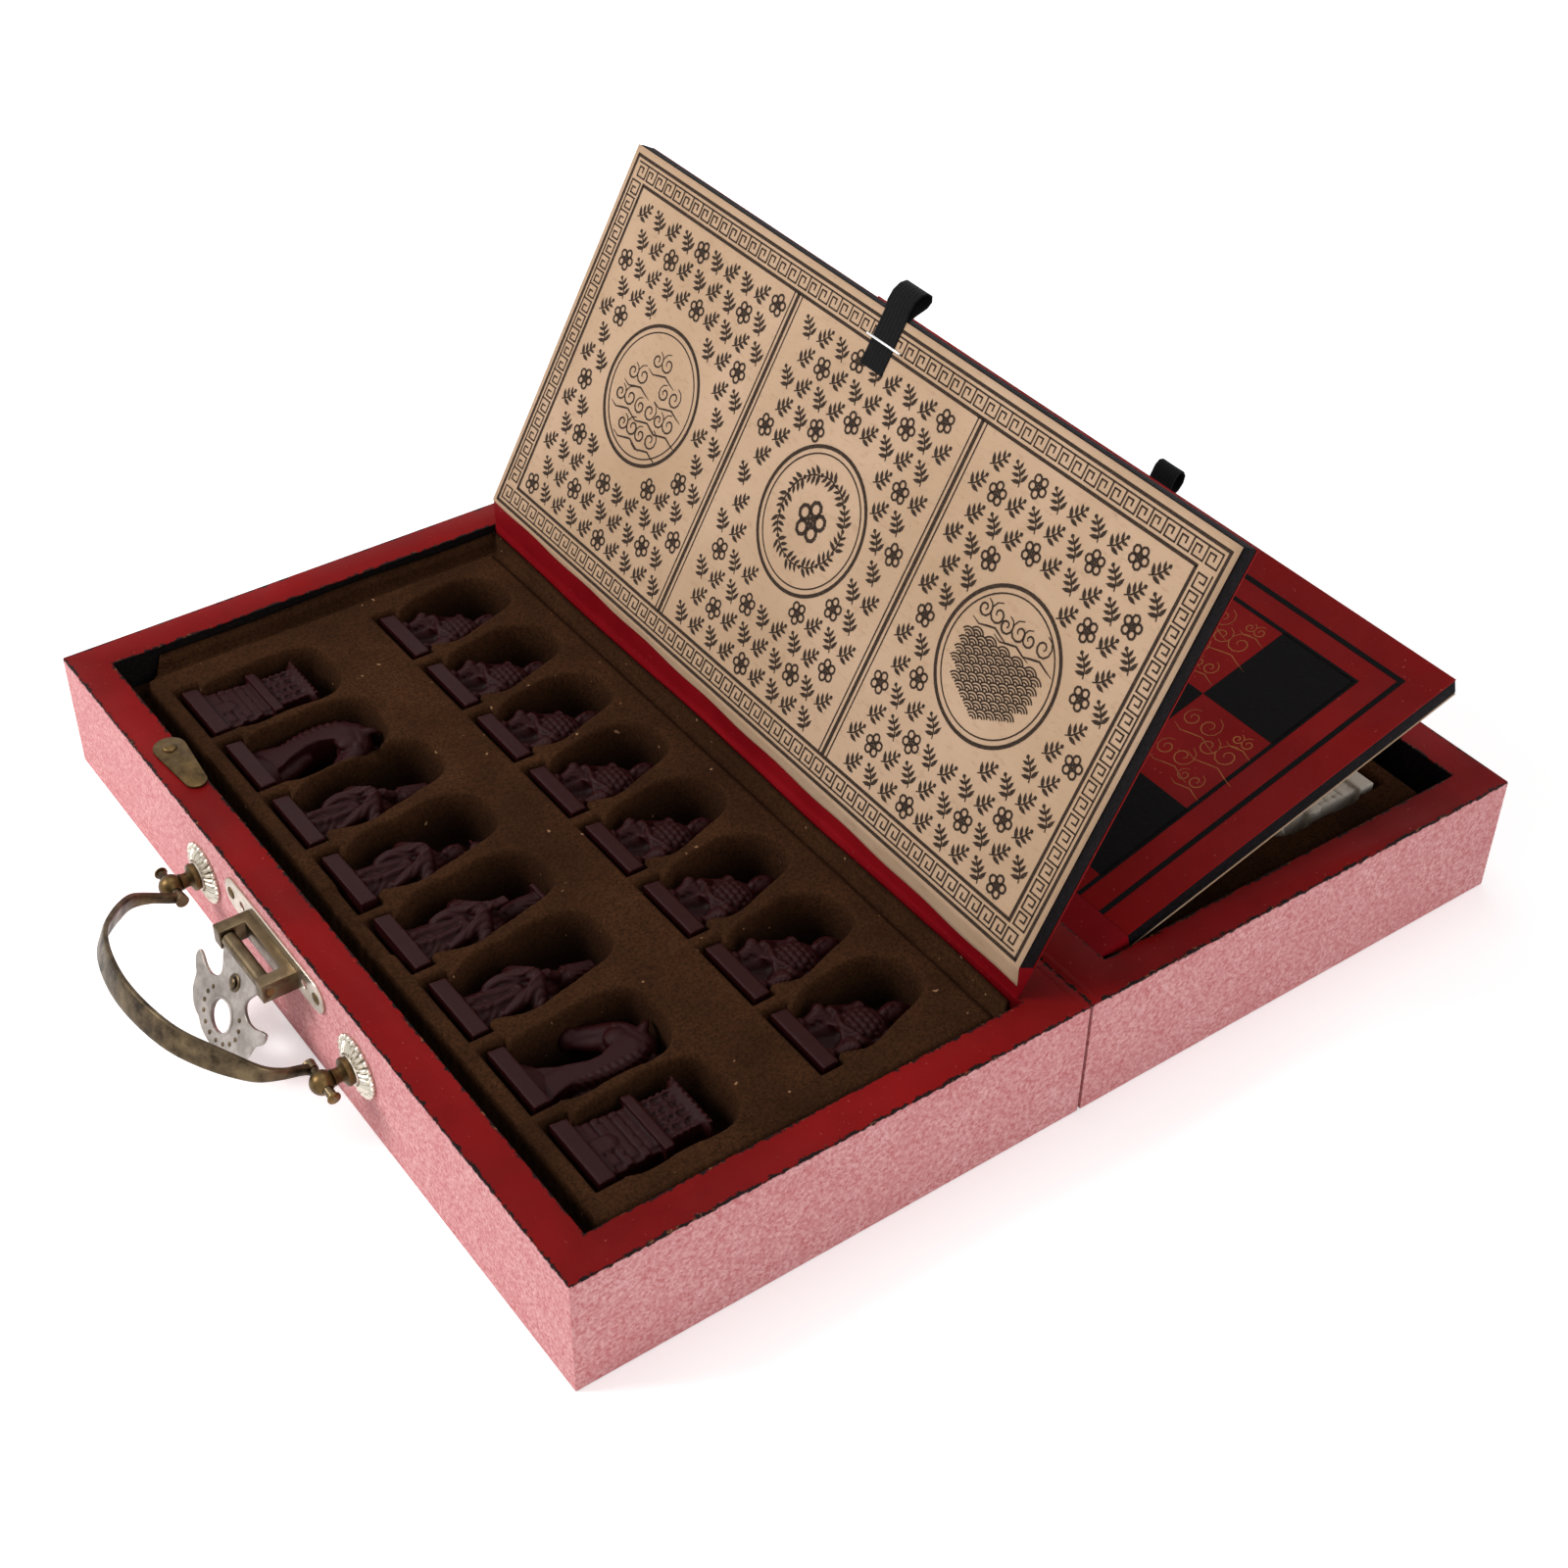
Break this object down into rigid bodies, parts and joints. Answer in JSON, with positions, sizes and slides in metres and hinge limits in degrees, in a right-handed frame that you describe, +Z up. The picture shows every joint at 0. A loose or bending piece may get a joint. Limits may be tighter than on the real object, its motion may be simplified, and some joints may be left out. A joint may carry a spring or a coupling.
{
  "type": "folding chess box",
  "caption": "Two-tray folding chess box: lifting board halves over flocked trays of lying figure pieces, with a bail handle, a hasp and a turn button.",
  "frame": {"origin": "middle of the left tray's underside", "axes": "+X from the left tray to the right one, +Y along the seam away from the viewer, +Z up"},
  "size_m": [0.3357, 0.26, 0.1491],
  "materials": {
    "wood_board": "medium density fibreboard, painted black inside the tray",
    "side_covering": "dusty rose fine-grained covering paper",
    "red_leatherette": "smooth dark red leatherette",
    "brown_flock": "brown flock on a formed tray",
    "black_edge_board": "fibreboard with black edges",
    "board_print": "printed red and black leatherette",
    "printed_paper": "kraft paper with a brown-black print",
    "black_ribbon": "woven black ribbon",
    "staple_steel": "bright staple wire",
    "dark_resin": "dark maroon resin",
    "ivory_resin": "ivory resin",
    "antique_brass": "antiqued brass",
    "pale_nickel": "polished nickel plate",
    "grey_steel": "grey stamped steel"
  },
  "bodies": {
    "left_tray": {"left_outer_wall": "wood_board", "left_seam_wall": "wood_board", "left_near_wall": "wood_board", "left_far_wall": "wood_board", "left_bottom_board": "wood_board", "left_side_cover": "side_covering", "left_rim_cover": "red_leatherette", "left_insert": "brown_flock", "dark_rooks": "dark_resin", "dark_knights": "dark_resin", "dark_bishops": "dark_resin", "dark_king": "dark_resin", "dark_queen": "dark_resin", "dark_pawns": "dark_resin", "handle_posts": "antique_brass", "handle_rosettes": "antique_brass", "hasp_plate": "pale_nickel", "hasp_bracket": "antique_brass", "hasp_pin": "antique_brass", "hasp_nails": "antique_brass", "turn_button_rivet": "antique_brass"},
    "right_tray": {"right_outer_wall": "wood_board", "right_seam_wall": "wood_board", "right_near_wall": "wood_board", "right_far_wall": "wood_board", "right_bottom_board": "wood_board", "right_side_cover": "side_covering", "right_rim_cover": "red_leatherette", "right_insert": "brown_flock", "ivory_rooks": "ivory_resin", "ivory_knights": "ivory_resin", "ivory_bishops": "ivory_resin", "ivory_king": "ivory_resin", "ivory_queen": "ivory_resin", "ivory_pawns": "ivory_resin", "catch_plate": "antique_brass", "catch_loop": "antique_brass", "catch_nails": "antique_brass"},
    "left_board": {"left_board_flap": "red_leatherette", "left_board_core": "black_edge_board", "left_board_print": "board_print", "left_board_lining": "printed_paper", "left_pull_tab": "black_ribbon", "left_tab_staple": "staple_steel"},
    "right_board": {"right_board_flap": "red_leatherette", "right_board_core": "black_edge_board", "right_board_print": "board_print", "right_board_lining": "printed_paper", "right_pull_tab": "black_ribbon", "right_tab_staple": "staple_steel"},
    "handle": {"handle_bail": "antique_brass"},
    "hasp": {"hasp_flap": "grey_steel", "hasp_stud": "antique_brass"},
    "button": {"turn_button": "antique_brass"}
  },
  "joints": [
    {"name": "box_fold", "type": "hinge", "parent": "left_tray", "child": "right_tray", "pos_m": [0.07125, 0, 0.0363], "axis": [0, -1, 0], "range_deg": [0, 180]},
    {"name": "left_board_lift", "type": "hinge", "parent": "left_tray", "child": "left_board", "pos_m": [0.05865, 0, 0.0354], "axis": [0, -1, 0], "range_deg": [0, 119], "deforming": ["left_pull_tab"]},
    {"name": "right_board_lift", "type": "hinge", "parent": "right_tray", "child": "right_board", "pos_m": [0.08385, 0, 0.0354], "axis": [0, 1, 0], "range_deg": [0, 16.3], "deforming": ["right_pull_tab"]},
    {"name": "handle_swing", "type": "hinge", "parent": "left_tray", "child": "handle", "pos_m": [-0.08025, 0.005, 0.0195], "axis": [0, 1, 0], "range_deg": [-105, 60]},
    {"name": "hasp_swing", "type": "hinge", "parent": "left_tray", "child": "hasp", "pos_m": [-0.07865, 0.005, 0.0253], "axis": [0, 1, 0], "range_deg": [-25, 158]},
    {"name": "button_turn", "type": "hinge", "parent": "left_tray", "child": "button", "pos_m": [-0.0637, 0.077, 0.0354], "axis": [0, 0, 1], "range_deg": [-90, 90]}
  ],
  "couplings": [
    {"joint": "left_board_lift", "follows": "box_fold", "ratio": 0.66111},
    {"joint": "right_board_lift", "follows": "box_fold", "ratio": 0.090556}
  ]
}
